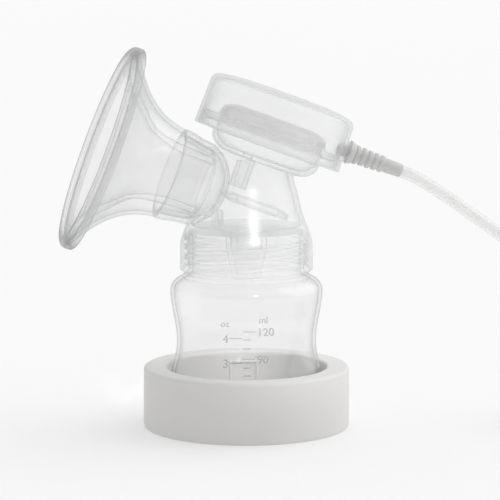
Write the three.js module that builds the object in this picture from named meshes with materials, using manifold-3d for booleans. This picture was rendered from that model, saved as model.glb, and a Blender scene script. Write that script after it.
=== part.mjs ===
// A single electric breast pump, stood up for storage: a bottle in its stand, the pump body screwed onto
// the bottle, a funnel with a soft liner, a membrane under a domed cap, and the air tube to the motor.
// Millimetres, +Z up. The origin is the middle of the stand's underside, the funnel points towards -X and
// the tube leaves towards +X.
import * as THREE from "three";
import { mergeVertices } from "three/addons/utils/BufferGeometryUtils.js";
import Module from "manifold-3d";

const wasm = await Module();
wasm.setup();

// Driving sizes
const SIDES = 32; // facets round every turned piece
const GAP = 0.3; // clearance between pieces that touch on the real object
const HEAD_TILT = THREE.MathUtils.degToRad(20); // lean of the cap's axis and of the tube's port
const HEAD_Z = 100; // height where the cap's axis crosses the bottle's
const ARM_TILT = THREE.MathUtils.degToRad(21); // lean of the funnel's axis
const ARM_Z = 100.6; // height where the funnel's axis crosses the bottle's

const STAND_R = 46.2;
const STAND_H = 27;
const CUP_R = 35.9;
const STAND_WALL = 2.2;
const STAND_FLOOR = 4;

const BOTTLE_WALL = 1.5;
const NECK_R = 25.8;
const LIP_Z = 86.5;
const THREAD_STARTS = 3;
const THREAD_LEAD = 12.9; // rise in one whole turn
const THREAD_WIDTH = 1.5;
const BOTTLE_CREST_R = 27.2;
const BODY_CREST_R = 26.4;
const THREAD_LOW = 72.2; // middle of a body thread where it starts
const HALF_PITCH = THREAD_LEAD / THREAD_STARTS / 2; // the bottle's threads run midway between the body's
const THREAD_TURN = THREE.MathUtils.degToRad(230);

const SKIRT_LOW = 70.4;
const SKIRT_BORE = 27.9;
const BODY_FLOOR_LOW = 87.6;
const BODY_FLOOR_TOP = 90;
const SPIGOT_R = 7; // the valve pushes onto this
const SPIGOT_BORE = 4.4;
const SPIGOT_LOW = 80;
const VALVE_LIP = 66;

const MOUTH_U = 36.5; // distance of the arm's mouth from the crossing point
const RIM_R = 45; // funnel shell at its edge
const RIM_U = 69;
const LIP_R = 46.7; // rolled lip of the liner

const AIR_HOLE_X = -6.5; // the hole from the chamber up to the bowl
const BOWL_RIM_R = 32;
const BOWL_RIM_TOP = 30;
const BOWL_FLOOR = 18.7; // underside of the bowl
const CAP_R = 33.9;
const CAP_LOW = 26.5;
const CAP_WALL = 1.4;
const PORT_H = 36.4; // height of the tube port above the crossing point, along the cap's axis
const PORT_BORE = 2.9;

const TUBE_D = 5.5;
const TUBE_BORE = 3;
const TUBE_START = 61.3; // distance of the tube's first face from the cap's axis
const COIL_X = 168;
const COIL_Y = -33;
const COIL_IN = 24.3;
const COIL_OUT = 35.7;
const COIL_H = 11.2;
const PLUG_X = COIL_X - 30.6; // the motor's plug lies on the coil
const PLUG_Z = COIL_H + 5.2;

// Materials
const paint = (color, roughness, opacity = 1) =>
  new THREE.MeshStandardMaterial({ color, roughness, metalness: 0, opacity, transparent: opacity < 1 });
const MATTE_WHITE = paint(0xe9e9e7, 0.6);
const CLEAR = paint(0xdfe3e6, 0.08, 0.35);
const FROSTED = paint(0xe4e6e7, 0.35, 0.7);
const SILICONE = paint(0xe6e6e4, 0.45, 0.85);
const CLEAR_SILICONE = paint(0xe2e2df, 0.3, 0.6);
const GREY_PLASTIC = paint(0xb9bcbe, 0.5);

// Shapes
function turned(profile, sides = SIDES) {
  // Turns [radius, height] points about +Z. The outline is a loop, or runs from axis to axis.
  const points = profile.map(([r, z]) => new THREE.Vector2(r, z));
  const closed = profile[0][0] > 0;
  if (closed) points.push(points[0].clone());
  if (THREE.ShapeUtils.area(points) < 0) points.reverse();
  return new THREE.LatheGeometry(points, sides).rotateX(Math.PI / 2);
}

function toManifold(geometry) {
  const bare = geometry.clone();
  bare.deleteAttribute("normal");
  bare.deleteAttribute("uv");
  const merged = mergeVertices(bare, 1e-4);
  return new wasm.Manifold(
    new wasm.Mesh({
      numProp: 3,
      vertProperties: new Float32Array(merged.attributes.position.array),
      triVerts: new Uint32Array(merged.index.array),
    }),
  );
}

function toGeometry(solid) {
  const { vertProperties, triVerts } = solid.getMesh();
  const geometry = new THREE.BufferGeometry();
  geometry.setAttribute("position", new THREE.BufferAttribute(new Float32Array(vertProperties), 3));
  geometry.setIndex(new THREE.BufferAttribute(new Uint32Array(triVerts), 1));
  return geometry;
}

const joined = (...geometries) => geometries.map(toManifold).reduce((a, b) => a.add(b));
const piece = (name, geometry, material) => {
  const mesh = new THREE.Mesh(geometry, material);
  mesh.name = name;
  return mesh;
};
const inHead = (geometry) => geometry.rotateY(HEAD_TILT).translate(0, 0, HEAD_Z);
// Pieces turned about +Z, laid along the funnel's axis and along the tube's port.
const alongArm = (geometry) => geometry.rotateY(ARM_TILT - Math.PI / 2).translate(0, 0, ARM_Z);
const alongPort = (geometry) => inHead(geometry.rotateY(Math.PI / 2).translate(0, 0, PORT_H));

function helixRidge(wallR, crestR, lowZ, startAngle) {
  // A bar bent round the axis and raised as it goes, one start of a screw thread.
  const root = wallR - 0.4 * Math.sign(crestR - wallR); // reaches into the wall
  const bar = new THREE.BoxGeometry(THREAD_TURN, Math.abs(crestR - root), THREAD_WIDTH, 20, 1, 1);
  const middle = (crestR + root) / 2;
  const p = bar.attributes.position;
  for (let i = 0; i < p.count; i += 1) {
    const turn = p.getX(i) + THREAD_TURN / 2;
    const r = middle - p.getY(i);
    const z = lowZ + (THREAD_LEAD * turn) / (2 * Math.PI) + p.getZ(i);
    p.setXYZ(i, r * Math.cos(startAngle + turn), r * Math.sin(startAngle + turn), z);
  }
  return bar;
}

function threads(wallR, crestR, lowZ) {
  const step = (2 * Math.PI) / THREAD_STARTS;
  return Array.from({ length: THREAD_STARTS }, (_, i) => helixRidge(wallR, crestR, lowZ, i * step));
}

// Pieces
function stand() {
  // One moulding: a double wall round the bottle's cup, open underneath between the two walls.
  const deck = STAND_H - STAND_WALL;
  const outline = [
    [0, 0], [CUP_R + STAND_WALL, 0], [CUP_R + STAND_WALL, deck], [STAND_R - STAND_WALL, deck],
    [STAND_R - STAND_WALL, 0], [STAND_R - 1, 0], [STAND_R - 0.2, 0.8], [STAND_R, 2.5],
    [STAND_R - 0.3, STAND_H - 1.2], [STAND_R - 1.5, STAND_H], [CUP_R + 1, STAND_H],
    [CUP_R, STAND_H - 1], [CUP_R, STAND_FLOOR + 2.5], [CUP_R - 2.5, STAND_FLOOR], [0, STAND_FLOOR],
  ];
  return piece("stand", turned(outline), MATTE_WHITE);
}

function bottle() {
  const low = STAND_FLOOR + GAP;
  const outside = [
    [0, low + 1.5], [24, low + 1.5], [27, low], [31.5, low], [34, low + 2], [34.9, 12], [34.6, 18.5],
    [33.4, 25.7], [32.1, 30.5], [31.3, 35.2], [31.1, 39.2], [31.6, 45], [32.6, 50.6], [33.9, 59.6],
    [33.8, 62.4], [31, 66.3], [28.2, 67.5], [27.9, 68.8], [NECK_R, 69.6], [NECK_R, LIP_Z],
  ];
  const inside = [
    [NECK_R - BOTTLE_WALL, LIP_Z], [NECK_R - BOTTLE_WALL, 69], [26.6, 67], [29.6, 65.2], [32.2, 61.8],
    [32.3, 59.6], [31.1, 50.8], [29.6, 39.2], [29.8, 35.2], [31.9, 25.7], [33.3, 14], [32.6, low + 3.6],
    [30.5, low + 1.8], [27.6, low + 1.6], [24, low + 3], [0, low + 3],
  ];
  const ridges = threads(NECK_R, BOTTLE_CREST_R, THREAD_LOW + HALF_PITCH);
  return piece("bottle", toGeometry(joined(turned([...outside, ...inside]), ...ridges)), CLEAR);
}

function bodyCone() {
  const outside = [
    [0, SKIRT_LOW], [29.7, SKIRT_LOW], [29.4, 82.5], [27.7, 88.2], [25.1, 95.3], [22.7, 104.8],
    [21.1, 110.5], [19.5, 124], [0, 124],
  ];
  const chamber = [
    [0, BODY_FLOOR_TOP], [24.8, BODY_FLOOR_TOP], [22.6, 96.5], [20.6, 105], [19.2, 110.5], [17.6, 124],
    [0, 124],
  ];
  const skirtBore = [
    [0, SKIRT_LOW - 1], [SKIRT_BORE, SKIRT_LOW - 1], [SKIRT_BORE, 84.5], [26.6, BODY_FLOOR_LOW],
    [0, BODY_FLOOR_LOW],
  ];
  // The cone stops inside the bowl's floor, which a large box with its top there cuts it to.
  const size = 120;
  const under = new THREE.BoxGeometry(size, size, size).translate(0, 0, BOWL_FLOOR + 0.7 - size / 2);
  const cone = toManifold(turned(outside)).intersect(toManifold(inHead(under)));
  return cone.subtract(toManifold(turned(chamber))).subtract(toManifold(turned(skirtBore)));
}

function bodyBowl() {
  const outside = [
    [0, BOWL_FLOOR], [17, BOWL_FLOOR], [20.4, 19.3], [23, 21.2], [24.4, 24], [26.3, 26.6], [31.6, 26.9],
    [BOWL_RIM_R, 27.4], [BOWL_RIM_R, BOWL_RIM_TOP], [0, BOWL_RIM_TOP],
  ];
  const hollow = [
    [0, 20.6], [16.8, 20.6], [19.6, 21.2], [21.5, 22.6], [22.6, 24.8], [24.3, 28],
    [24.3, BOWL_RIM_TOP + 1], [0, BOWL_RIM_TOP + 1],
  ];
  return { outside: toManifold(inHead(turned(outside))), hollow: toManifold(inHead(turned(hollow))) };
}

function bodyArm() {
  const outside = [
    [0, 9.8], [6, 10.4], [11, 12.6], [15, 16], [17.6, 19.6], [18.9, 23], [19.3, 27], [20.6, 33],
    [20.8, MOUTH_U], [0, MOUTH_U],
  ];
  const pocket = [
    [0, 11.8], [5.4, 12.3], [9.8, 14.2], [13.4, 17.2], [16, 20.6], [16.8, 24], [18.4, 34], [18.4, MOUTH_U + 1],
    [0, MOUTH_U + 1],
  ];
  return {
    outside: toManifold(alongArm(turned(outside))),
    pocket: toManifold(alongArm(turned(pocket))),
  };
}

function bodyFittings() {
  // Inside the cone: a partition across it, an upright rib in front of the arm and the post of the air hole.
  const partition = inHead(new THREE.BoxGeometry(27, 30, 3).translate(3.4, 0, 0.5));
  const rib = new THREE.BoxGeometry(1.6, 26, 9).translate(-13, 0, 93.4);
  const airPost = inHead(new THREE.BoxGeometry(7, 8, 14).translate(AIR_HOLE_X, 0, 12.2));
  const low = BODY_FLOOR_TOP - 1;
  const inside = [[0, low], [26, low], [21, 104], [19.6, 113], [19, 119], [0, 119]];
  return joined(partition, rib, airPost).intersect(toManifold(turned(inside)));
}

function pumpBody() {
  const bowl = bodyBowl();
  const arm = bodyArm();
  const spigot = turned([
    [SPIGOT_BORE, SPIGOT_LOW], [SPIGOT_R, SPIGOT_LOW], [SPIGOT_R, BODY_FLOOR_LOW + 1],
    [SPIGOT_BORE, BODY_FLOOR_LOW + 1],
  ]);
  const drain = new THREE.CylinderGeometry(SPIGOT_BORE, SPIGOT_BORE, 12, 20)
    .rotateX(Math.PI / 2)
    .translate(0, 0, BODY_FLOOR_TOP - 2);
  const airHole = inHead(new THREE.BoxGeometry(4, 4, 24).translate(AIR_HOLE_X, 0, 10));
  const milkHole = inHead(
    new THREE.CylinderGeometry(4.5, 4.5, 16, 20).rotateZ(Math.PI / 2).translate(-14, 0, -7),
  );
  const solid = bodyCone()
    .add(bowl.outside)
    .add(arm.outside)
    .add(bodyFittings())
    .subtract(bowl.hollow)
    .subtract(arm.pocket)
    .subtract(joined(airHole, milkHole, drain))
    .add(joined(spigot, ...threads(SKIRT_BORE, BODY_CREST_R, THREAD_LOW)));
  return piece("pump_body", toGeometry(solid), FROSTED);
}

function duckbillValve() {
  // A sleeve round the spigot that flattens into two lips.
  const fit = SPIGOT_R + GAP;
  const outline = [
    [0, VALVE_LIP], [6.6, VALVE_LIP], [7.6, 72], [9.2, 79], [9.2, BODY_FLOOR_LOW - 2.2],
    [11, BODY_FLOOR_LOW - 2], [11, BODY_FLOOR_LOW - GAP], [fit, BODY_FLOOR_LOW - GAP],
    [fit, SPIGOT_LOW - GAP], [6, 77.5], [4.4, VALVE_LIP + 2], [0, VALVE_LIP + 2],
  ];
  const valve = turned(outline, 28);
  const lipFlatness = 0.22;
  const p = valve.attributes.position;
  for (let i = 0; i < p.count; i += 1) {
    const roundness = THREE.MathUtils.smoothstep(p.getZ(i), VALVE_LIP, 79);
    p.setY(i, p.getY(i) * THREE.MathUtils.lerp(lipFlatness, 1, roundness));
  }
  return piece("duckbill_valve", toGeometry(toManifold(valve)), SILICONE);
}

function flangeShell() {
  const outside = [
    [15.5, 21], [16.4, 24], [18.05, 34], [18.05, MOUTH_U + GAP], [20.6, MOUTH_U + GAP], [21.3, 41.5],
    [22.9, 46.4], [25.2, 50.8], [28.6, 55.4], [31.6, 58.4], [35.6, 61.9], [40.2, 65.4], [43.4, 67.4],
    [RIM_R, RIM_U - 1], [RIM_R, RIM_U],
  ];
  const inside = [
    [43.2, RIM_U], [39.3, 66.8], [34.6, 63.2], [30.5, 59.5], [27.4, 56.3], [23.8, 51.4], [21.5, 47],
    [19.9, 42.2], [18.6, 38.8], [16.3, 35.2], [14.6, 24], [14.3, 21],
  ];
  return piece("flange_shell", alongArm(turned([...outside, ...inside])), CLEAR);
}

function flangeLiner() {
  const overRim = RIM_R + GAP;
  const outside = [
    [13.2, 19.7], [13.6, 30], [14.6, 41], [15.3, 45.6], [16.6, 49], [19.6, 52.8], [23.9, 56.8], [27.2, 60],
    [31.2, 63.3], [35.4, 66.2], [39.6, 68.3], [43.1, RIM_U + GAP], [overRim, RIM_U + GAP],
    [overRim, RIM_U - 2.7], [LIP_R - 0.4, RIM_U - 3], [LIP_R, RIM_U - 2.2], [LIP_R, RIM_U + 0.6],
    [46, RIM_U + 2.2], [44.2, RIM_U + 3],
  ];
  const inside = [
    [42, 71.7], [40.8, 70.6], [37, 69.6], [31, 66.2], [26, 62], [19.5, 55.2], [15.5, 51], [13.5, 47],
    [12, 42], [10.6, 35], [10.6, 19.7],
  ];
  return piece("flange_liner", alongArm(turned([...outside, ...inside])), SILICONE);
}

function membrane() {
  // A dome hollow underneath, with a flat rim that lies on the bowl's.
  const outline = [
    [0, 38.6], [19, 38.6], [21.6, 38], [22.9, 36.6], [23.4, 33], [24.3, 31.2], [25.4, BOWL_RIM_TOP + GAP],
    [31.7, BOWL_RIM_TOP + GAP], [31.7, 33.5], [25.6, 33.5], [24.7, 34.6], [24.1, 37.6], [22.2, 39.3],
    [19, 39.8], [0, 39.8],
  ];
  return piece("membrane", inHead(turned(outline)), SILICONE);
}

function cap() {
  // A domed cover over the membrane, with a round port for the tube on one side.
  const outside = [
    [CAP_R - CAP_WALL, CAP_LOW], [CAP_R, CAP_LOW], [CAP_R, 30], [33.5, 46.6], [32.9, 48.6], [31.1, 49.9],
    [24, 51.2], [12, 51.8], [0, 51.9],
  ];
  const inside = [
    [0, 50.5], [12, 50.4], [23.6, 49.8], [30.1, 48.7], [31.7, 47.4], [32.1, 46], [CAP_R - CAP_WALL, 30],
  ];
  const port = new THREE.CylinderGeometry(PORT_BORE + 1.8, PORT_BORE + 2.2, 3, 24)
    .rotateZ(-Math.PI / 2)
    .translate(33.6, 0, PORT_H);
  const bore = new THREE.CylinderGeometry(PORT_BORE, PORT_BORE, 10, 24)
    .rotateZ(-Math.PI / 2)
    .translate(33, 0, PORT_H);
  const shell = toManifold(turned([...outside, ...inside]));
  const solid = shell.add(toManifold(port)).subtract(toManifold(bore));
  return piece("cap", inHead(toGeometry(solid)), FROSTED);
}

function tubeConnector() {
  // A stub in the port, a flared root, five ribs and a sleeve over the tube's end.
  const stub = PORT_BORE - GAP;
  const outline = [[TUBE_BORE / 2, 30.5], [stub, 30.5], [stub, 35.6], [5.5, 35.6], [4.6, 38]];
  for (let rib = 0; rib < 5; rib += 1) {
    const from = 38.6 + 3 * rib;
    const r = 4.25 - 0.11 * rib;
    outline.push([r, from], [r, from + 1.7], [3.1, from + 2], [3.1, from + 2.9]);
  }
  outline.push([3.2, 54], [3.2, TUBE_START - GAP], [TUBE_BORE / 2, TUBE_START - GAP]);
  return piece("tube_connector", alongPort(turned(outline, 28)), SILICONE);
}

// The tube's free run: straight out of the connector, then down in a bend to where it meets the coil.
const RUN = [
  [74.2, 0, 111.5], [79.1, 0, 109], [83.7, 0, 106.2], [88.4, 0, 103.2], [93, 0, 100.1], [97.7, 0, 96.9],
  [102.4, 0, 93.6], [107.1, 0, 90.3], [111.8, 0, 87], [115.5, 0, 84.3], [121.2, 0, 79.7], [126.2, 0, 73.6],
  [130.2, 0, 66.2], [133.1, 0, 57.6], [135.1, 0, 48.2], [136, 0, 39], [136.4, 0, 30], [138.6, 0, 22],
  [142.2, 0, 15.8], [147, 0, 10.7],
];

function alongRoute(points, steps) {
  const circle = new THREE.Shape().absarc(0, 0, TUBE_D / 2, 0, 2 * Math.PI);
  const section = new THREE.Shape(circle.getPoints(10).slice(0, -1));
  const places = points.map((p) => new THREE.Vector3(...p));
  const extrudePath = new THREE.CatmullRomCurve3(places, false, "centripetal");
  return new THREE.ExtrudeGeometry(section, { steps, extrudePath, curveSegments: 1, bevelEnabled: false });
}

function tube() {
  const start = new THREE.Vector3(TUBE_START, 0, PORT_H).applyAxisAngle(new THREE.Vector3(0, 1, 0), HEAD_TILT);
  return piece("tube", alongRoute([[start.x, 0, start.z + HEAD_Z], ...RUN], 18), CLEAR_SILICONE);
}

function tubeCoil() {
  // The outer shape of four turns, two above two.
  const outline = [
    [COIL_IN + 2, 0], [COIL_OUT - 2, 0], [COIL_OUT, 2], [COIL_OUT, COIL_H - 2], [COIL_OUT - 2, COIL_H],
    [COIL_IN + 2, COIL_H], [COIL_IN, COIL_H - 2], [COIL_IN, 2],
  ];
  return piece("tube_coil", turned(outline, 36).translate(COIL_X, COIL_Y, 0), CLEAR_SILICONE);
}

function coilClip() {
  // A springy clip that snaps over the coil from above and is open underneath.
  const half = (COIL_OUT - COIL_IN) / 2 + GAP;
  const wall = 1.3;
  const top = COIL_H + GAP;
  const arch = new THREE.Shape();
  arch.moveTo(-half - wall, 1).lineTo(-half - wall, top - 1).lineTo(-half, top + wall);
  arch.lineTo(half, top + wall).lineTo(half + wall, top - 1).lineTo(half + wall, 1);
  arch.lineTo(half, 1).lineTo(half, top).lineTo(-half, top).lineTo(-half, 1).closePath();
  const clip = new THREE.ExtrudeGeometry(arch, { depth: 7, bevelEnabled: false }).translate(0, 0, -3.5);
  const across = (COIL_IN + COIL_OUT) / 2;
  return piece("coil_clip", clip.rotateX(Math.PI / 2).translate(COIL_X + across, COIL_Y, 0), GREY_PLASTIC);
}

function tubeTail() {
  // The last of the tube, lying on the coil on its way to the plug.
  const low = COIL_H + GAP + TUBE_D / 2;
  const route = [
    [PLUG_X, COIL_Y - 14, low + 0.1], [PLUG_X, COIL_Y - 8, PLUG_Z - 1], [PLUG_X, COIL_Y - 4, PLUG_Z],
    [PLUG_X, COIL_Y - 1, PLUG_Z],
  ];
  return piece("tube_tail", alongRoute(route, 5), CLEAR_SILICONE);
}

function motorConnector() {
  // The plug for the motor's air outlet: a sleeve over the tube and a ribbed taper.
  const outline = [
    [TUBE_BORE / 2, 0], [3.4, 0], [3.4, 5], [4.9, 6], [4.9, 8], [4.1, 8.6], [4.1, 10], [4.8, 10.6], [4.8, 12.6],
    [4, 13.2], [4, 14.6], [4.6, 15.2], [4.6, 17.2], [3.6, 18], [3.2, 25], [TUBE_BORE / 2, 25],
  ];
  const plug = turned(outline, 24).rotateX(-Math.PI / 2);
  return piece("motor_connector", plug.translate(PLUG_X, COIL_Y - 1 + 2 * GAP, PLUG_Z), SILICONE);
}

const pump = new THREE.Group();
pump.add(
  stand(), bottle(), pumpBody(), duckbillValve(), flangeShell(), flangeLiner(), membrane(), cap(),
  tubeConnector(), tube(), tubeCoil(), coilClip(), tubeTail(), motorConnector(),
);

export default pump;
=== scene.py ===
"""A single electric breast pump on its bottle, standing in a round stand, with its air tube.

Everything is worked out in millimetres and put into the meshes in metres. The stand's underside is at
height 0, the bottle's axis is the Z axis, the funnel points towards -X and the air tube leaves towards +X.
"""

import math

import bmesh
import bpy
import numpy as np
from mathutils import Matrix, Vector


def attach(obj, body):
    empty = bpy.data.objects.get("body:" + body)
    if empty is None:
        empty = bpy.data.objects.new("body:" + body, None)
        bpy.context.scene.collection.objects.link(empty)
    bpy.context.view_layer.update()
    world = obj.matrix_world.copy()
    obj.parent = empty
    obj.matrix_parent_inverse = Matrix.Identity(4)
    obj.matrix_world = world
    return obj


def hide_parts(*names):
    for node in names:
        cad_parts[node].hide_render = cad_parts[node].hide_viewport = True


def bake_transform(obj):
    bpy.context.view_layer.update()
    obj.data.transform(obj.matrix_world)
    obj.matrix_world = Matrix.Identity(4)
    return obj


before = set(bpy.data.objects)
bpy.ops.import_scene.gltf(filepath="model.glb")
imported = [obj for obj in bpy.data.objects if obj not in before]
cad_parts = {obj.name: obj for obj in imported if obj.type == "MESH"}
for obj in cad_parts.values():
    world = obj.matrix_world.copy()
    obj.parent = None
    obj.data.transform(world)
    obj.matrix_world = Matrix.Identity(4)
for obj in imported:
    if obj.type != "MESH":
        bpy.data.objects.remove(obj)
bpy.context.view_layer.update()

# ---------------------------------------------------------------- driving sizes, in millimetres
MM = 0.001
HEAD_TILT = math.radians(20)  # lean of the cap's axis and of the tube's port
HEAD_Z = 100.0  # where the cap's axis crosses the bottle's
ARM_TILT = math.radians(21)  # lean of the funnel's axis
ARM_Z = 100.6  # where the funnel's axis crosses the bottle's
PORT_H = 36.4  # height of the tube's port above the cap's crossing, along the cap's axis
TUBE_START = 61.3  # how far along the port's axis the bare tube begins
TUBE_D = 5.5
TUBE_BORE = 3.0
COIL_MIDDLE = (168.0, -33.0)
COIL_OUT = 32.9  # radius of the outer turns, to the tube's middle
COIL_IN = 27.1
LAYERS = (2.8, 8.4)  # heights of the lower and upper turns
PLUG_AT = (COIL_MIDDLE[0] - 30.6, COIL_MIDDLE[1] - 0.4, 16.4)  # the plug's open end

STAND_R = 46.2
STAND_H = 27.0
STAND_WALL = 2.2
CUP_R = 35.9
CUP_FLOOR = 4.0
NECK_R = 25.8
THREAD_STARTS = 3
THREAD_LEAD = 12.9
SKIRT_BORE = 27.9
BOWL_RIM = 32.0
ARM_MOUTH = 36.5

# ---------------------------------------------------------------- camera
CAMERA_TURN = math.radians(9.46)  # the funnel is turned a little towards the viewer
CAMERA_DOWN = math.radians(7.29)
CAMERA_AWAY = 967.0  # from the bottle's axis
CAMERA_HEIGHT = 202.6
CAMERA_ASIDE = 1.6
SENSOR_WIDTH = 36.0
LENS = 157.7


def set_camera():
    """Puts the camera level with the funnel's middle, looking slightly down."""
    data = bpy.data.cameras.new("camera")
    data.sensor_width = SENSOR_WIDTH
    data.lens = LENS
    data.clip_start, data.clip_end = 0.05, 20.0
    camera = bpy.data.objects.new("camera", data)
    bpy.context.scene.collection.objects.link(camera)
    ahead = np.array([math.sin(CAMERA_TURN), math.cos(CAMERA_TURN)])
    right = np.array([ahead[1], -ahead[0]])
    place = CAMERA_ASIDE * right - CAMERA_AWAY * ahead
    camera.location = (place[0] * MM, place[1] * MM, CAMERA_HEIGHT * MM)
    camera.rotation_euler = (math.pi / 2 - CAMERA_DOWN, 0.0, -CAMERA_TURN)
    bpy.context.scene.camera = camera


# ---------------------------------------------------------------- places
def upright(p):
    return p


def leaning(p, lean, height):
    """Turns points about +Y by the lean and lifts them by the height."""
    c, s = math.cos(lean), math.sin(lean)
    x, y, z = p[..., 0], p[..., 1], p[..., 2]
    return np.stack([x * c + z * s, y, height - x * s + z * c], -1)


def in_head(p):
    return leaning(p, HEAD_TILT, HEAD_Z)


def along_arm(p):
    """Lays a piece turned about +Z along the funnel's axis, which leans up from -X."""
    return leaning(np.stack([-p[..., 2], p[..., 1], p[..., 0]], -1), ARM_TILT, ARM_Z)


def along_port(p):
    """Lays a piece turned about +Z along the tube's port, which is the head's +X."""
    return in_head(np.stack([p[..., 2], p[..., 1], PORT_H - p[..., 0]], -1))


# ---------------------------------------------------------------- surfaces
def outline(*corners, steps=6):
    """Joins corners (radius, height, rounding) by straight lines into a loop.

    A corner with a rounding is replaced by the parabola that touches both of its sides that far from it:
    B(t) = (1-t)^2 A + 2t(1-t) P + t^2 C. A loop that begins and ends on the axis stays open there.
    """
    p = np.array([c[:2] for c in corners], float)
    rounding = [c[2] if len(c) > 2 else 0.0 for c in corners]
    rows = []
    for i, r in enumerate(rounding):
        if r == 0:
            rows.append(p[i : i + 1])
            continue
        back, on = p[i - 1] - p[i], p[(i + 1) % len(p)] - p[i]
        a = p[i] + back * min(0.5, r / np.linalg.norm(back))
        c = p[i] + on * min(0.5, r / np.linalg.norm(on))
        t = np.linspace(0, 1, steps + 1)[:, None]
        rows.append((1 - t) ** 2 * a + 2 * t * (1 - t) * p[i] + t**2 * c)
    return np.concatenate(rows)


def flowing(points, steps=6):
    """A smooth curve through the points: a Catmull-Rom cubic between each two neighbours."""
    p = np.array(points, float)
    p = np.concatenate([[2 * p[0] - p[1]], p, [2 * p[-1] - p[-2]]])
    t = np.linspace(0, 1, steps, endpoint=False)[None, :, None]
    a, b, c, d = (p[i : len(p) - 3 + i, None] for i in range(4))
    curve = 0.5 * (
        2 * b + (c - a) * t + (2 * a - 5 * b + 4 * c - d) * t**2 + (3 * b - a - 3 * c + d) * t**3
    )
    return np.concatenate([curve.reshape(-1, p.shape[1]), p[-2:-1]])


def linked(name, data):
    """Puts a mesh, a curve or a lamp in the scene as an object at the origin."""
    obj = bpy.data.objects.new(name, data)
    bpy.context.scene.collection.objects.link(obj)
    return obj


def set_in(side, wall):
    """The same line moved inwards by wall along its own normal, and running back."""
    slope = np.gradient(side, axis=0)
    normal = np.stack([slope[:, 1], -slope[:, 0]], 1) / np.linalg.norm(slope, axis=1)[:, None]
    return (side - wall * normal)[::-1]


def make(name, points, faces, sharp=35):
    """Makes a closed mesh, its faces outwards, from points in millimetres."""
    points, faces = np.asarray(points, float), np.asarray(faces, int)
    a, b, c = points[faces[:, 0]], points[faces[:, 1]], points[faces[:, 2]]
    d = points[faces[:, -1]]
    inside_out = (np.cross(a, b) * c).sum() + (np.cross(a, c) * d).sum() < 0
    mesh = bpy.data.meshes.new(name)
    mesh.from_pydata((points * MM).tolist(), [], (faces[:, ::-1] if inside_out else faces).tolist())
    shell = bmesh.new()
    shell.from_mesh(mesh)
    bmesh.ops.remove_doubles(shell, verts=shell.verts, dist=1e-7)
    shell.to_mesh(mesh)
    shell.free()
    mesh.shade_smooth()
    mesh.set_sharp_from_angle(angle=math.radians(sharp))
    return linked(name, mesh)


def grid_faces(rows, columns, loop_rows):
    """The quads of a grid that is closed round its columns, and round its rows if loop_rows."""
    i, j = np.meshgrid(np.arange(rows if loop_rows else rows - 1), np.arange(columns), indexing="ij")
    below, right = (i + 1) % rows, (j + 1) % columns
    quads = [i * columns + j, i * columns + right, below * columns + right, below * columns + j]
    return np.stack(quads, -1).reshape(-1, 4)


def turned(name, profile, place=upright, sides=128, push=None, sharp=35):
    """Turns an outline about +Z: (r cos a, r sin a, z), with r moved outwards by push(a, r, z)."""
    r, z = profile[:, 0, None], profile[:, 1, None]
    a = np.linspace(0, 2 * math.pi, sides, endpoint=False)[None]
    if push is not None:
        r = r + push(a, r, z)
    points = np.stack([r * np.cos(a), r * np.sin(a), z + 0 * a], -1).reshape(-1, 3)
    faces = grid_faces(len(profile), sides, profile[0, 0] > 1e-9)
    return make(name, place(points), faces, sharp)


def carried(name, path, radii, sides=20):
    """Carries circles along a path, one after another from the outer wall back along the bore.

    The circle's frame turns with the path as little as it can: each sideways direction is the last one
    with its part along the path taken off.
    """
    path = np.asarray(path, float)
    along = np.gradient(path, axis=0)
    along /= np.linalg.norm(along, axis=1)[:, None]
    side = np.empty_like(path)
    last = np.array([0.0, 1.0, 0.0])
    for i, d in enumerate(along):
        last = last - d * last.dot(d)
        last /= np.linalg.norm(last)
        side[i] = last
    up = np.cross(along, side)
    a = np.linspace(0, 2 * math.pi, sides, endpoint=False)[None, :, None]
    ring = np.cos(a) * side[:, None] + np.sin(a) * up[:, None]
    walls = [path[:, None] + radii[0] * ring, (path[:, None] + radii[1] * ring)[::-1]]
    points = np.concatenate(walls)
    return make(name, points.reshape(-1, 3), grid_faces(len(points), sides, True))


def combined(name, first, steps, sharp=30):
    """Joins or cuts solids one after another and keeps the result as one new mesh."""
    for how, other in steps:
        modifier = first.modifiers.new(how, "BOOLEAN")
        modifier.operation, modifier.object, modifier.solver = how, other, "MANIFOLD"
    done = bpy.data.meshes.new_from_object(first.evaluated_get(bpy.context.evaluated_depsgraph_get()))
    for other in [first, *(o for _, o in steps)]:
        bpy.data.objects.remove(other)
    done.name = name
    done.shade_smooth()
    done.set_sharp_from_angle(angle=math.radians(sharp))
    return linked(name, done)


def block(name, size, middle, place=upright, edge=0.3):
    """A box with its edges taken off, as tools to join or cut with."""
    box = bmesh.new()
    bmesh.ops.create_cube(box, size=1.0)
    p = np.array([v.co for v in box.verts])
    faces = [[v.index for v in f.verts] for f in box.faces]
    box.free()
    obj = make(name, place(p * size + np.array(middle)), faces)
    if edge:
        bevel = obj.modifiers.new("edge", "BEVEL")
        bevel.width, bevel.segments = edge * MM, 2
    return obj


def thread(crest, lead_at, low, high, width):
    """Ridges of a screw with several starts.

    The ridge's height falls from its crest as 1 - (d / width)^4. d is how far a point is from the nearest
    of the rising lines z = lead_at + lead * angle / 2 pi + n * pitch. The ridge fades out at both ends.
    """
    pitch = THREAD_LEAD / THREAD_STARTS

    def push(a, r, z):
        off = (z - lead_at - THREAD_LEAD * a / (2 * math.pi) + pitch / 2) % pitch - pitch / 2
        ridge = np.clip(1 - (np.abs(off) / width) ** 4, 0, 1)
        fade = np.clip((z - low) / 0.8, 0, 1) * np.clip((high - z) / 0.8, 0, 1)
        return crest * ridge * fade

    return push


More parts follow.
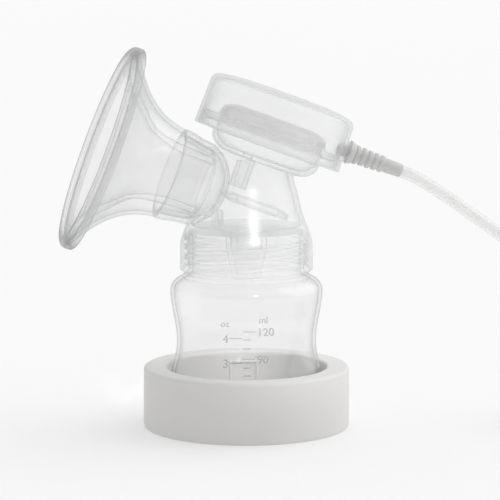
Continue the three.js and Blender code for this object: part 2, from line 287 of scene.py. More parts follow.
# ---------------------------------------------------------------- materials
def linear(code):
    """An sRGB colour such as #dfe3e6 as the linear colour that a shader takes."""
    c = [int(code[i : i + 2], 16) / 255 for i in (1, 3, 5)]
    return (*(x / 12.92 if x <= 0.04045 else ((x + 0.055) / 1.055) ** 2.4 for x in c), 1.0)


def add(tree, kind, inputs=(), **settings):
    """Adds one node. An input given as a socket is linked, and any other is set."""
    made = tree.nodes.new(kind)
    for key, value in settings.items():
        setattr(made, key, value)
    for key, value in dict(inputs).items():
        if isinstance(value, bpy.types.NodeSocket):
            tree.links.new(value, made.inputs[key])
        else:
            made.inputs[key].default_value = value
    return made


def start_material(name):
    material = bpy.data.materials.new(name)
    material.use_nodes = True
    tree = material.node_tree
    tree.nodes.clear()
    return material, tree, add(tree, "ShaderNodeOutputMaterial")


def mottle(tree, size_mm, detail=3.0):
    """Noise on the object's own coordinates whose patches are about size_mm across."""
    where = add(tree, "ShaderNodeTexCoord").outputs["Object"]
    settings = {"Vector": where, "Scale": 1 / (size_mm * MM), "Detail": detail}
    return add(tree, "ShaderNodeTexNoise", settings).outputs["Fac"]


def between(tree, fac, low, high):
    """A number that goes from low to high with fac."""
    return add(tree, "ShaderNodeMapRange", {"Value": fac, "To Min": low, "To Max": high}).outputs["Result"]


def tones(tree, fac, first, second):
    """A colour that goes from the first to the second with fac."""
    mix = add(tree, "ShaderNodeMix", {"Factor": fac}, data_type="RGBA")
    ends = [i for i in mix.inputs if i.type == "RGBA"]
    ends[0].default_value, ends[1].default_value = linear(first), linear(second)
    return next(o for o in mix.outputs if o.type == "RGBA")


def moulded_plastic(name, light, dark, rough, grain_mm=0.35, relief_mm=0.01, glow=0.0):
    """Solid plastic from a mould: a fine even grain and slightly uneven gloss. glow is light of its own."""
    material, tree, out = start_material(name)
    colour = tones(tree, mottle(tree, 14), light, dark)
    gloss = between(tree, mottle(tree, 5), rough - 0.05, rough + 0.05)
    bump = add(tree, "ShaderNodeBump", {"Height": mottle(tree, grain_mm, 2), "Distance": relief_mm * MM})
    shader = add(
        tree,
        "ShaderNodeBsdfPrincipled",
        {"Base Color": colour, "Roughness": gloss, "Normal": bump.outputs["Normal"], "IOR": 1.5,
         "Emission Color": (1, 1, 1, 1), "Emission Strength": glow},
    )
    tree.links.new(shader.outputs[0], out.inputs["Surface"])
    return material


def see_through(name, light, dark, clear, edge, rough, solid, milk=0.5, gloss=0.04, fall=4.0):
    """Thin-walled clear or milky plastic or silicone.

    What passes straight through is tinted from clear, seen face on, to edge, seen edge on, because the
    line of sight then runs longer inside the wall. The rest is milk, of which the share milk is lit from
    behind. solid gives the milk's share of the wall, face on and edge on. Both grow towards the edge with
    the power fall. On top lies a mirror that grows as the fifth power.
    """
    material, tree, out = start_material(name)
    facing = add(tree, "ShaderNodeLayerWeight", {"Blend": 0.5}).outputs["Facing"]
    long_way = add(tree, "ShaderNodeMath", {0: facing, 1: fall}, operation="POWER").outputs[0]
    colour = tones(tree, mottle(tree, 11), light, dark)
    passed = add(tree, "ShaderNodeBsdfTransparent", {"Color": tones(tree, long_way, clear, edge)})
    roughness = between(tree, mottle(tree, 4), rough * 0.85, rough * 1.15)
    plastic = {"Base Color": colour, "Roughness": roughness, "IOR": 1.49}
    front = add(tree, "ShaderNodeBsdfPrincipled", plastic)
    behind = add(tree, "ShaderNodeBsdfTranslucent", {"Color": colour})
    milky = add(tree, "ShaderNodeMixShader", {0: milk, 1: front.outputs[0], 2: behind.outputs[0]})
    share = between(tree, long_way, *solid)
    wall = add(tree, "ShaderNodeMixShader", {0: share, 1: passed.outputs[0], 2: milky.outputs[0]})
    mirror = add(tree, "ShaderNodeBsdfGlossy", {"Color": (1, 1, 1, 1), "Roughness": roughness})
    steep = add(tree, "ShaderNodeMath", {0: facing, 1: 5.0}, operation="POWER").outputs[0]
    fresnel = between(tree, steep, gloss, 0.55)
    whole = add(tree, "ShaderNodeMixShader", {0: fresnel, 1: wall.outputs[0], 2: mirror.outputs[0]})
    tree.links.new(whole.outputs[0], out.inputs["Surface"])
    return material


def wear(obj, material):
    obj.data.materials.clear()
    obj.data.materials.append(material)
    return obj


def finish_piece(obj, material, body, *nodes):
    """Gives a piece its material, the body that it rides on and the solids that it stands for."""
    wear(obj, material)
    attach(obj, body)
    if nodes:
        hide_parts(*nodes)
    return obj


# ---------------------------------------------------------------- the tube
FREE_RUN = [  # straight out of the connector, then down in a bend to the surface beside the coil
    (74.2, 0, 111.5), (79.1, 0, 109), (83.7, 0, 106.2), (88.4, 0, 103.2), (93, 0, 100.1), (97.7, 0, 96.9),
    (102.4, 0, 93.6), (107.1, 0, 90.3), (111.8, 0, 87), (115.5, 0, 84.3), (121.2, 0, 79.7),
    (126.2, 0, 73.6), (130.2, 0, 66.2), (133.1, 0, 57.6), (135.1, 0, 48.2), (136, 0, 39),
    (136.4, 0, 30), (138.6, 0, 22), (142.2, 0, 15.8), (147, 0, 10.7), (152.8, 1.8, 6.4),
    (160, 2, 3.6), (166.5, 1.3, 2.9),
]  # fmt: skip


def eased(a, start, end):
    """0 up to start, 1 from end on, and between them 3t^2 - 2t^3."""
    t = np.clip((a - start) / (end - start), 0, 1)
    return t * t * (3 - 2 * t)


def tube_route():
    """The middle line of the whole tube.

    The coil is wound clockwise: (x + r sin a, y + r cos a), with a in degrees. Its radius goes in at the
    end of the first turn and out again in the third, and its height goes up in the second. The end climbs
    onto the coil and bends round to the plug.
    """
    start = in_head(np.array([[TUBE_START, 0.0, PORT_H]]))
    a = np.arange(7.5, 1306, 7.5)
    inward = eased(a, 250, 352) - eased(a, 885, 995)
    r = COIL_OUT + (COIL_IN - COIL_OUT) * inward
    z = LAYERS[0] + (LAYERS[1] - LAYERS[0]) * eased(a, 560, 680) + 8 * eased(a, 1235, 1340)
    x, y = COIL_MIDDLE
    coil = np.stack([x + r * np.sin(np.radians(a)), y + r * np.cos(np.radians(a)), z], 1)
    plug_x, _, plug_z = PLUG_AT
    end = [(141.6, -52.5, 15.1), (139.3, -48.2, 15.8), (137.9, -43.5, 16.2), (plug_x, -38.6, plug_z),
           (plug_x, -34.3, plug_z), (plug_x, -30, plug_z)]  # fmt: skip
    return flowing(np.concatenate([start, FREE_RUN, coil, end]), 5)


def even_steps(path, step):
    """The same line with its points a step apart."""
    gone = np.concatenate([[0], np.cumsum(np.linalg.norm(np.diff(path, axis=0), axis=1))])
    at = np.linspace(0, gone[-1], int(gone[-1] / step) + 1)
    return np.stack([np.interp(at, gone, path[:, k]) for k in range(3)], 1), gone[-1]


def air_tube():
    """The clear hollow tube from the connector to the plug."""
    route, length = even_steps(tube_route(), 1.6)
    tube = carried("air_tube", route, (TUBE_D / 2, TUBE_BORE / 2), 20)
    return tube, route, length


def tube_connector():
    """A stub in the port, a flared root, five ribs that get smaller, and a sleeve over the tube's end."""
    points = [(1.5, 30.5), (2.6, 30.5, 0.3), (2.6, 35.5), (5.5, 35.5, 0.5), (4.5, 38.4, 0.6)]
    for rib in range(5):
        low, r = 38.8 + 3 * rib, 4.3 - 0.11 * rib
        points += [(3.1, low - 0.2, 0.2), (r, low, 0.4), (r, low + 1.7, 0.4), (3.1, low + 1.9, 0.2)]
    points += [(3.1, 53.4, 0.3), (3.3, 54, 0.3), (3.1, TUBE_START + 0.1, 0.3), (1.5, TUBE_START + 0.1)]
    return turned("tube_connector_piece", outline(*points, steps=4), along_port, 48)


def motor_plug():
    """The plug at the tube's far end: a sleeve, three ribs and a taper that pushes into the motor."""
    points = [(1.6, 0), (3.4, 0, 0.4), (3.4, 5, 0.4), (4.8, 5.8, 0.5), (4.8, 8, 0.5), (4.1, 8.6, 0.2),
              (4.1, 10, 0.2), (4.7, 10.6, 0.5), (4.7, 12.6, 0.5), (4, 13.2, 0.2), (4, 14.6, 0.2),
              (4.5, 15.2, 0.5), (4.5, 17.2, 0.5), (3.6, 18, 0.3), (3.2, 25, 0.5), (1.6, 25)]  # fmt: skip

    def lying(p):
        return np.stack([p[..., 0], p[..., 2], p[..., 1]], -1) + PLUG_AT

    return turned("motor_plug", outline(*points, steps=4), lying, 40)


def coil_clip():
    """A springy arch that snaps over the coil: an outline in the bundle's cross-section, drawn out 7 mm."""
    half, wall, top, low = 6.0, 1.25, 11.5, 1.1
    section = outline(
        (-half - wall, low, 0.5), (-half - wall, top + wall, 2.2), (half + wall, top + wall, 2.2),
        (half + wall, low, 0.5), (half, low, 0.4), (half, top, 1.2), (-half, top, 1.2), (-half, low, 0.4),
    )  # fmt: skip
    x, y = COIL_MIDDLE[0] + 30.0, COIL_MIDDLE[1]
    n = len(section)
    ends = [np.column_stack([x + section[:, 0], np.full(n, y + d), section[:, 1]]) for d in (-3.4, 3.4)]
    points = np.concatenate(ends)
    i = np.arange(n)
    sides = np.stack([i, (i + 1) % n, n + (i + 1) % n, n + i], 1)
    mesh = bpy.data.meshes.new("coil_clip_piece")
    mesh.from_pydata((points * MM).tolist(), [], [*sides.tolist(), i[::-1].tolist(), (n + i).tolist()])
    shell = bmesh.new()
    shell.from_mesh(mesh)
    bmesh.ops.recalc_face_normals(shell, faces=shell.faces)
    shell.to_mesh(mesh)
    shell.free()
    mesh.shade_smooth()
    mesh.set_sharp_from_angle(angle=math.radians(35))
    return linked("coil_clip_piece", mesh)


# ---------------------------------------------------------------- the bottle and its stand
BOTTLE_SIDE = [  # the outer wall from the foot to under the skirt
    (31.6, 4.35), (33.6, 5.2), (34.7, 7.8), (34.9, 12), (34.6, 18.5), (33.4, 25.7), (32.1, 30.5),
    (31.3, 35.2), (31.1, 39.2), (31.6, 45), (32.6, 50.6), (33.5, 56), (33.9, 59.6), (33.8, 62.4),
    (32.8, 64.6), (31, 66.3), (28.9, 67.3),
]  # fmt: skip
BOTTLE_WALL = 1.5


def bottle():
    """The bottle turned from its outer wall, its neck, and the outer line set in by an even wall."""
    side = flowing(BOTTLE_SIDE, 5)
    inner = set_in(side, BOTTLE_WALL)
    neck = outline((28.2, 67.4), (28.2, 68.6, 0.4), (NECK_R, 69.2, 0.5), (NECK_R, 69.6), steps=4)[:-1]
    shaft = np.linspace(69.8, 85.6, 60)
    walls = [
        [(0, 6.0), (22, 6.0), (26, 5.2), (28.5, 4.4)],
        side,
        neck,
        np.stack([np.full(60, NECK_R), shaft], 1),
        [(25.6, 86.2), (25.2, 86.5), (24.6, 86.4), (24.3, 86.0), (24.3, 75.0), (24.3, 69.4), (26, 67.8)],
        inner[3:-3],
        [(30.5, 6.9), (28, 6.5), (24, 7.4), (0, 7.4)],
    ]
    profile = np.concatenate([np.array(w, float) for w in walls])
    ridges = thread(1.35, 74.35, 72.2, 85.0, 0.95)

    def only_neck(a, r, z):
        return ridges(a, r, z) * (np.abs(r - NECK_R) < 0.01)

    return turned("bottle_piece", profile, sides=192, push=only_neck)


def onto_bottle(across, up, proud):
    """Wraps flat points round the bottle: across is arc length to the right of its front line."""
    side = np.array(BOTTLE_SIDE)
    r = np.interp(up, side[:, 1], side[:, 0])
    a = -math.pi / 2 - CAMERA_TURN + across / r
    return np.stack([(r + proud) * np.cos(a), (r + proud) * np.sin(a), up], -1)


MARK_PROUD = 0.35  # how far the raised marks stand off the wall, and how far their feet lie in it
MARK_SUNK = 0.25
ML_HEIGHTS = {120: 47.2, 110: 43.6, 100: 39.6, 90: 35.1, 80: 31.3, 70: 28.0}
OZ_HEIGHTS = {4: 44.2, 3: 33.2}


def raised_bar(left, right, height, thick=0.42):
    """A raised bar on the bottle: the box left..right by thick by MARK_PROUD, wrapped round it."""
    u = np.linspace(left, right, 6)
    foot, top = thick / 2, thick / 3
    ring = np.array([(-foot, -MARK_SUNK), (foot, -MARK_SUNK), (top, MARK_PROUD), (-top, MARK_PROUD)])
    up = height + ring[None, :, 0] + 0 * u[:, None]
    points = onto_bottle(u[:, None] + 0 * up, up, ring[None, :, 1] + 0 * up).reshape(-1, 3)
    ends = [[0, 1, 2, 3], [23, 22, 21, 20]]
    return points, np.concatenate([grid_faces(6, 4, False), ends])


def raised_words(text, left, low, size):
    """Plain upright figures, drawn flat, given their depth, and wrapped round the bottle."""
    curve = bpy.data.curves.new("figures", "FONT")
    curve.body, curve.size, curve.extrude = text, size * MM, 0.3 * MM
    curve.resolution_u = 4
    flat = linked("figures", curve)
    mesh = bpy.data.meshes.new_from_object(flat.evaluated_get(bpy.context.evaluated_depsgraph_get()))
    bpy.data.objects.remove(flat)
    p = np.zeros(len(mesh.vertices) * 3, np.float32)
    mesh.vertices.foreach_get("co", p)
    p = p.reshape(-1, 3).astype(float) / MM
    wrapped = onto_bottle(left + p[:, 0], low + p[:, 1], p[:, 2] + 0.05)
    mesh.vertices.foreach_set("co", (wrapped * MM).astype(np.float32).ravel())
    return mesh


def graduation():
    """The raised scale: millilitres with bars to the right of the line and ounces to the left."""
    meshes = []
    bars = [(-1.4, 4.2 if ml in (120, 90) else 1.9, z) for ml, z in ML_HEIGHTS.items()]
    bars += [(-7.3, -1.8, z) for z in OZ_HEIGHTS.values()]
    for bar in bars:
        points, faces = raised_bar(*bar)
        mesh = bpy.data.meshes.new("bar")
        mesh.from_pydata((points * MM).tolist(), [], faces.tolist())
        meshes.append(mesh)
    meshes += [raised_words(str(ml), 4.6, ML_HEIGHTS[ml] - 2.0, 5.2) for ml in (120, 90)]
    meshes += [raised_words(str(oz), -10.4, z - 2.0, 5.2) for oz, z in OZ_HEIGHTS.items()]
    meshes += [raised_words("ml", 5.4, 51.0, 4.2), raised_words("oz", -11.4, 49.3, 4.2)]
    whole = bmesh.new()
    for mesh in meshes:
        whole.from_mesh(mesh)
        bpy.data.meshes.remove(mesh)
    bmesh.ops.remove_doubles(whole, verts=whole.verts, dist=1e-6)
    bmesh.ops.recalc_face_normals(whole, faces=whole.faces)
    done = bpy.data.meshes.new("graduation")
    whole.to_mesh(done)
    whole.free()
    return linked("graduation", done)


FRAME_AT = math.radians(82.6)  # a shallow moulded frame on the cup's far wall: its place round the cup
FRAME_WIDE = 12.4
FRAME_TALL = 16.0
FRAME_TOP = 22.2
FRAME_BAR = 1.0
FRAME_DEEP = 1.4


def stand():
    """The stand's double wall, open underneath, with every edge rounded."""
    inner, outer, deck = CUP_R + STAND_WALL, STAND_R - STAND_WALL, STAND_H - STAND_WALL
    profile = outline(
        (0, 0), (inner, 0, 0.5), (inner, deck, 1), (outer, deck, 1), (outer, 0, 0.4), (STAND_R, 0, 2.4),
        (STAND_R - 0.3, STAND_H, 1.6), (CUP_R, STAND_H, 1.4), (CUP_R, CUP_FLOOR, 2.4), (0, CUP_FLOOR),
    )  # fmt: skip
    wall = turned("stand_wall", profile, sides=192)
    c, s = math.cos(FRAME_AT), math.sin(FRAME_AT)

    def on_far_wall(p):
        """Turns points so that their X lies across the cup's wall and their Y points out of it."""
        return np.stack([p[..., 0] * s + p[..., 1] * c, -p[..., 0] * c + p[..., 1] * s, p[..., 2]], -1)

    half, top_out, side_out = FRAME_WIDE / 2, CUP_R - 0.5, CUP_R - 1.0
    middle = FRAME_TOP - FRAME_TALL / 2 + 0.5
    across, upright_bar = (FRAME_WIDE + FRAME_BAR, FRAME_DEEP, FRAME_BAR), (FRAME_BAR, FRAME_DEEP, FRAME_TALL)
    bars = [
        block("frame_top", across, (0, top_out, FRAME_TOP), on_far_wall),
        block("frame_left", upright_bar, (-half, side_out, middle), on_far_wall),
        block("frame_right", upright_bar, (half, side_out, middle), on_far_wall),
    ]
    return combined("stand_piece", wall, [("UNION", bar) for bar in bars])


# ---------------------------------------------------------------- the pump body and what it holds
def body_cone():
    """The skirt and the cone above it, closed by a floor over the skirt, hollow above that floor."""
    outside = np.concatenate([
        outline((0, 70.4), (29.7, 70.4, 0.6), (29.45, 82.4))[:-1],
        flowing([(29.4, 82.8), (28.9, 84.8), (27.7, 88.2), (25.1, 95.3), (22.7, 104.8), (21.1, 110.5),
                 (19.5, 124)], 5),
        [(0, 124)],
    ])  # fmt: skip
    cone = turned("cone", outside, sides=160)
    chamber = np.concatenate([
        outline((0, 90), (25.2, 90, 1.5), (22.9, 96.5))[:-1],
        flowing([(22.9, 96.5), (20.7, 104.8), (19.2, 110.5), (17.6, 124)], 5),
        [(0, 124)],
    ])  # fmt: skip
    shaft = np.stack([np.full(60, SKIRT_BORE), np.linspace(71.2, 84.6, 60)], 1)
    mouth, end = [(0, 69), (28.4, 69), (28.4, 70.6)], [(27.6, 86), (25.6, 87.6), (0, 87.6)]
    bore = np.concatenate([mouth, shaft, end])
    ridges = thread(-1.45, 72.2, 71.6, 84.4, 0.95)

    def only_shaft(a, r, z):
        return ridges(a, r, z) * (np.abs(r - SKIRT_BORE) < 0.01)

    cut = [
        ("INTERSECT", block("under_bowl", (120, 120, 120), (0, 0, 19.4 - 60), in_head, 0)),
        ("DIFFERENCE", turned("chamber", chamber, sides=160)),
        ("DIFFERENCE", turned("bore", bore, sides=192, push=only_shaft)),
    ]
    return cone, cut


def body_bowl():
    """The bowl's outer shape and its hollow, both about the cap's axis."""
    outside = outline(
        (0, 18.7), (19.8, 18.7, 3.5), (24.5, 22.6, 2.5), (24.9, 26.2, 1), (30.7, 26.8, 0.8),
        (BOWL_RIM, 27.2, 0.4), (BOWL_RIM, 30, 0.4), (0, 30),
    )  # fmt: skip
    hollow = outline((0, 20.6), (18.9, 20.6, 3.2), (22.7, 24, 2), (24.2, 28), (24.2, 31), (0, 31))
    return turned("bowl", outside, in_head, 160), turned("bowl_hollow", hollow, in_head, 160)


def body_arm():
    """The arm with its round inner end, and the pocket that the funnel pushes into."""
    outside = np.concatenate([
        flowing([(0, 9.8), (6, 10.5), (11, 12.7), (15, 16), (17.6, 19.6), (18.9, 23), (19.3, 27),
                 (20.1, 31)], 5)[:-1],
        outline((20.1, 31), (20.65, 33.4, 0.8), (20.8, ARM_MOUTH, 0.4), (0, ARM_MOUTH)),
    ])  # fmt: skip
    pocket = np.concatenate([
        flowing([(0, 11.8), (5.4, 12.4), (9.8, 14.3), (13.4, 17.3), (15.9, 20.8), (16.8, 24)], 5),
        [(18.4, 34), (18.4, 38), (0, 38)],
    ])  # fmt: skip
    return turned("arm", outside, along_arm, 128), turned("pocket", pocket, along_arm, 128)


def pump_body():
    """Cone, bowl and arm joined, hollowed, and fitted with partition, rib, air post and valve spigot."""
    cone, cuts = body_cone()
    bowl, bowl_hollow = body_bowl()
    arm, pocket = body_arm()
    inside = turned(
        "inside",
        np.array([(0, 89.0), (26, 89.0), (22.4, 100), (20, 110), (18.6, 119), (0, 119)], float),
        sides=64,
    )
    fitting = combined(
        "fittings",
        block("partition", (27, 30, 3), (3.4, 0, 0.5), in_head),
        [
            ("UNION", block("rib", (1.6, 26, 9), (-13, 0, 93.4))),
            ("UNION", block("air_post", (7, 8, 14), (-6.5, 0, 12.2), in_head)),
            ("INTERSECT", inside),
        ],
    )
    spigot = outline((4.4, 80, 0.3), (7, 80, 0.5), (7, 88.6), (4.4, 88.6))
    milk_hole = outline((0, 6), (4.5, 6), (4.5, 22), (0, 22))

    def low_in_arm(p):
        return in_head(np.stack([-p[..., 2], p[..., 1], p[..., 0] - 7], -1))

    drain = outline((0, 82), (4.4, 82), (4.4, 94), (0, 94))
    return combined(
        "pump_body_piece",
        cone,
        [
            *cuts,
            ("UNION", bowl),
            ("UNION", arm),
            ("UNION", fitting),
            ("DIFFERENCE", bowl_hollow),
            ("DIFFERENCE", pocket),
            ("DIFFERENCE", block("air_hole", (4, 4, 24), (-6.5, 0, 10), in_head, 0)),
            ("DIFFERENCE", turned("milk_hole", milk_hole, low_in_arm, 40)),
            ("DIFFERENCE", turned("drain", drain, sides=48)),
            ("UNION", turned("spigot", spigot, sides=48)),
        ],
    )


def duckbill_valve():
    """A sleeve that flattens into two lips: the turned sleeve with y scaled from 1 down to 0.2."""
    profile = outline(
        (0, 66), (6.6, 66, 0.6), (7.6, 72, 2), (9.2, 79, 1), (9.2, 85.4, 0.3), (11, 85.4, 0.5),
        (11, 87.3, 0.5), (7.2, 87.3), (7.2, 79.7, 0.3), (6, 77.5, 0.5), (4.6, 68), (0, 68),
    )  # fmt: skip

    def flattened(p):
        flat = 0.22 + 0.78 * eased(p[..., 2], 66, 79)
        return np.stack([p[..., 0], p[..., 1] * flat, p[..., 2]], -1)

    return turned("valve_piece", profile, flattened, 96)


SHELL_SIDE = [(20.5, 37.0), (20.8, 39.2), (21.3, 41.5), (22.9, 46.4), (25.2, 50.8), (28.6, 55.4),
              (31.8, 58.7), (35.6, 61.9), (40, 65.1), (43.2, 67.2)]  # fmt: skip
SHELL_WALL = 1.5


def funnel_shell():
    """The hard funnel: a tapered spigot, a step at the arm's mouth, the flare and a thin flat rim."""
    side = flowing(SHELL_SIDE, 5)
    inner = set_in(side, SHELL_WALL)
    profile = np.concatenate([
        outline((14.2, 21.2), (15.6, 21.2, 0.4), (16.45, 24), (18.05, 34), (18.05, 36.8),
                (20.4, 36.9, 0.3))[:-1],
        side,
        outline((44.9, 67.8, 0.3), (44.9, 68.9, 0.3), (43.4, 68.9, 0.2)),
        inner,
        [(16.6, 35.4), (14.6, 24)],
    ])  # fmt: skip
    return turned("funnel_shell_piece", profile, along_arm, 192)


LINER_OUT = [(13.2, 19.7), (13.6, 30), (14.4, 40), (15.2, 45.2), (16.6, 49), (19.6, 52.8), (23.9, 56.8),
             (27.2, 60), (31.2, 63.3), (35.4, 66.2), (39.6, 68.4), (42.9, 69.25)]  # fmt: skip
LINER_IN = [(40.4, 70.6), (37, 69.7), (31, 66.4), (26, 62.2), (19.5, 55.4), (15.6, 51), (13.6, 46.8),
            (12.1, 42), (10.9, 36), (10.6, 31), (10.6, 19.7)]  # fmt: skip


LIP_FROM = 65.5  # the lip lies beyond this along the arm's axis
LIP_OFF = 41.5  # and farther than this from it


def funnel_liner():
    """The soft liner: tunnel, flare and a lip that rolls over the shell's rim, with a groove round it."""
    lip = outline(
        (45.4, 69.3, 0.3), (45.4, 66.2, 0.2), (46.2, 66.0, 0.3), (46.7, 66.8, 0.4), (46.7, 67.6, 0.1),
        (46.5, 67.75, 0.1), (46.5, 67.95, 0.1), (46.7, 68.1, 0.1), (46.7, 69.3, 0.6), (46.2, 70.9, 0.8),
        (44.3, 72.1, 1.0), (42.6, 72.2, 0.8), (41.7, 71.4, 0.6), (41.1, 71.0, 0.5), steps=5,
    )  # fmt: skip
    profile = np.concatenate([flowing(LINER_OUT, 5), lip, flowing(LINER_IN, 5)])
    return turned("funnel_liner_piece", profile, along_arm, 192, sharp=50)


def wear_on_lip(liner, material):
    """Gives the liner's thick rolled lip, which lies far out along and off the axis, its own material."""
    liner.data.materials.append(material)
    axis = np.array([-math.cos(ARM_TILT), 0, math.sin(ARM_TILT)])
    for face in liner.data.polygons:
        middle = np.array(face.center) / MM - (0, 0, ARM_Z)
        along = middle @ axis
        off = np.linalg.norm(middle - along * axis)
        face.material_index = int(along > LIP_FROM and off > LIP_OFF)


def membrane():
    """The membrane's flat rim, its upright side and its round dome, hollow underneath."""
    profile = outline(
        (0, 39.8), (19.4, 39.8, 2.6), (24.1, 37.6, 1.6), (24.7, 34.2, 0.8), (25.6, 33.5, 0.4),
        (31.7, 33.5, 0.6), (31.7, 30.3, 0.4), (25.2, 30.3, 0.4), (24.2, 31.4, 0.4), (23.4, 34),
        (22.8, 36.8, 1.2), (19.2, 38.7, 1.8), (0, 38.7),
    )  # fmt: skip
    return turned("membrane_piece", profile, in_head, 160)


def cap():
    """The domed cap with its tube port."""
    outside = outline(
        (32.5, 26.5), (33.9, 26.5, 0.4), (33.85, 30), (33.45, 46.9, 1), (32.7, 49.0, 1.2),
        (30.9, 50.1, 1.2), (24, 51.3, 3), (12, 51.8, 5), (0, 51.9), steps=8,
    )  # fmt: skip
    inside = outline(
        (0, 50.5), (12, 50.4, 4), (23.6, 49.9, 3), (30.3, 48.8, 1), (31.9, 47.2, 1), (32.1, 45.9),
        (32.5, 30),
    )  # fmt: skip
    shell = turned("cap", np.concatenate([inside, outside]), in_head, 192)
    port = turned("port", outline((0, 32.0), (5.0, 32.0), (4.7, 35.1, 0.4), (0, 35.1)), along_port, 64)
    bore = turned("port_bore", outline((0, 28), (2.9, 28), (2.9, 38), (0, 38)), along_port, 64)
    return combined("cap_piece", shell, [("UNION", port), ("DIFFERENCE", bore)])


# ---------------------------------------------------------------- floor and light
def studio_floor(material):
    """A level floor that reaches past the view on every side."""
    half = 30000.0
    corners = np.array([(-half, -half, 0), (half, -half, 0), (half, half, 0), (-half, half, 0)])
    mesh = bpy.data.meshes.new("floor")
    mesh.from_pydata((corners * MM).tolist(), [], [(0, 1, 2, 3)])
    return wear(linked("floor", mesh), material)


BRIGHT_SIDE = (0.3, 0.45, 0.84)  # the room is brightest high up, a little behind and to the right
ROOM_STRENGTH = (0.17, 1.08)  # from the darkest side to the brightest
LAMP_AWAY = 0.7  # how far the snooted lamp stands off, in metres


def pale_room():
    """Surroundings whose brightness rises evenly from one side to the other."""
    world = bpy.data.worlds.new("pale_room")
    world.use_nodes = True
    tree = world.node_tree
    way = add(tree, "ShaderNodeTexCoord").outputs["Generated"]
    across = add(tree, "ShaderNodeVectorMath", {0: way, 1: BRIGHT_SIDE}, operation="DOT_PRODUCT")
    low, high = ROOM_STRENGTH
    limits = {"Value": across.outputs["Value"], "From Min": -1, "To Min": low, "To Max": high}
    strength = add(tree, "ShaderNodeMapRange", limits).outputs["Result"]
    background = tree.nodes["Background"]
    tree.links.new(strength, background.inputs["Strength"])
    background.inputs["Color"].default_value = linear("#fafafa")
    bpy.context.scene.world = world


def soft_key():
    """A weak, very broad lamp from the right, low over the table."""
    data = bpy.data.lights.new("soft_key", "SUN")
    data.energy, data.angle = 0.8, math.radians(70)
    linked("soft_key", data).rotation_euler = (math.radians(-8), math.radians(62), 0)


def snooted_lamp():
    """A narrow lamp on the viewer's side, aimed over the cup's near rim, lifts its far inner wall."""
    data = bpy.data.lights.new("snooted_lamp", "SPOT")
    data.energy, data.shadow_soft_size = 17.0, 0.03
    data.spot_size, data.spot_blend = math.radians(5.6), 0.4
    turn, rise = math.radians(6), math.radians(34)
    aim = Vector((0.004, CUP_R * MM, 0.022))
    away = Vector((math.sin(turn) * math.cos(rise), -math.cos(turn) * math.cos(rise), math.sin(rise)))
    lamp = linked("snooted_lamp", data)
    lamp.location = aim + LAMP_AWAY * away
    lamp.rotation_euler = away.to_track_quat("Z", "Y").to_euler()


def set_lights():
    """The pale room and its two lamps.

    Light crosses up to twenty clear walls where the funnel, its liner and the arm lie in each other, so
    more of them are let through than usual, or the overlap turns black.
    """
    scene = bpy.context.scene
    pale_room()
    scene.view_settings.view_transform = "Standard"
    scene.cycles.transparent_max_bounces = 64
    soft_key()
    snooted_lamp()


# ---------------------------------------------------------------- put together
set_camera()

# A studio table of opal acrylic, lit weakly from below, so shadows on it stay pale.
white_floor = moulded_plastic(
    "opal_acrylic_table_lit_from_below", "#d5d5d5", "#d3d3d3", 0.9, grain_mm=3, relief_mm=0.0, glow=0.3
)
# ABS from a spark-eroded mould: matte, faintly warm white.
stand_plastic = moulded_plastic("spark_eroded_white_abs", "#dfdedd", "#dbdad9", 0.5)
# Moulded nylon: satin mid-grey.
clip_plastic = moulded_plastic("grey_nylon", "#b9bcbe", "#b1b4b6", 0.5)
# Polypropylene blown in a polished mould: almost clear face on, with a thin dark edge.
clear_bottle = see_through(
    "polished_clear_polypropylene", "#f6f7f7", "#f0f1f1", clear="#fdfdfd", edge="#85888b", rough=0.06,
    solid=(0.04, 0.35), milk=0.5, gloss=0.04, fall=8.0,
)  # fmt: skip
# The funnel's hard shell, injection moulded and polished: clear, with pale edges.
clear_shell = see_through(
    "polished_clear_funnel", "#f6f7f7", "#f0f1f1", clear="#fefefe", edge="#c8cacc", rough=0.1,
    solid=(0.03, 0.3), milk=0.5, gloss=0.03, fall=5.0,
)  # fmt: skip
# Unpigmented polypropylene from a finely blasted mould: milky, with soft edges.
frosted = see_through(
    "milky_polypropylene", "#f6f7f7", "#eeefef", clear="#ffffff", edge="#d6d8d9", rough=0.3,
    solid=(0.1, 0.45), milk=0.55, gloss=0.03,
)  # fmt: skip
# Thin liquid silicone rubber: satin, clear face on, smoky where it is seen edge on.
soft = see_through(
    "satin_silicone", "#f9f9f9", "#f1f1f1", clear="#fefefe", edge="#7c7e80", rough=0.4,
    solid=(0.06, 0.45), milk=0.5, gloss=0.03, fall=8.0,
)  # fmt: skip
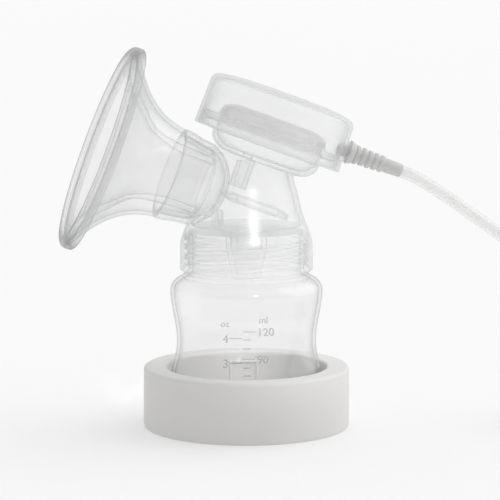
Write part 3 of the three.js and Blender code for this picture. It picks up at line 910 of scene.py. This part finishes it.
# The same silicone several millimetres thick, in the liner's rolled lip: greyer, with a dark outline.
soft_lip = see_through(
    "satin_silicone_thick_bead", "#e8e9e9", "#e2e3e3", clear="#f8f8f8", edge="#262829", rough=0.35,
    solid=(0.12, 0.16), milk=0.5, gloss=0.03, fall=4.0,
)  # fmt: skip
# White silicone a millimetre thick: half lets the light through.
soft_white = see_through(
    "white_silicone", "#f0f0ef", "#e9e9e8", clear="#fafafa", edge="#c4c6c7", rough=0.4,
    solid=(0.2, 0.6), milk=0.5, gloss=0.03,
)  # fmt: skip
# The same white silicone in solid fittings: nearly opaque and dull.
thick_white = see_through(
    "thick_white_silicone", "#ebebea", "#e2e2e1", clear="#f0f0f0", edge="#a9abad", rough=0.45,
    solid=(0.8, 0.98), milk=0.3, gloss=0.03,
)  # fmt: skip
# Extruded clear silicone: cloudy, with a bright bore.
soft_clear = see_through(
    "clear_silicone_tube", "#fbfbfa", "#f4f4f3", clear="#fdfdfd", edge="#b8babc", rough=0.25,
    solid=(0.3, 0.75), milk=0.6, gloss=0.04,
)  # fmt: skip
# Raised figures on the bottle: the same plastic, seen darker through their steep sides.
relief = see_through(
    "raised_figures", "#e4e6e7", "#dcdedf", clear="#eceded", edge="#989b9e", rough=0.15,
    solid=(0.2, 0.6), milk=0.4, gloss=0.06,
)  # fmt: skip

tube, route, tube_length = air_tube()
finish_piece(tube, soft_clear, "air_tube", "tube", "tube_coil", "tube_tail")
plug = finish_piece(motor_plug(), thick_white, "air_tube", "motor_connector")
clip = finish_piece(coil_clip(), clip_plastic, "air_tube", "coil_clip")
finish_piece(tube_connector(), thick_white, "air_tube", "tube_connector")

finish_piece(stand(), stand_plastic, "stand", "stand")
finish_piece(bottle(), clear_bottle, "bottle", "bottle")
finish_piece(graduation(), relief, "bottle")
finish_piece(pump_body(), frosted, "pump_body", "pump_body")
finish_piece(duckbill_valve(), soft, "valve", "duckbill_valve")
finish_piece(funnel_shell(), clear_shell, "flange_shell", "flange_shell")
liner = finish_piece(funnel_liner(), soft, "flange_liner", "flange_liner")
wear_on_lip(liner, soft_lip)
finish_piece(cap(), frosted, "cap", "cap")

dome = wear(membrane(), soft_white)
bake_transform(dome)
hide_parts("membrane")

studio_floor(white_floor)
set_lights()
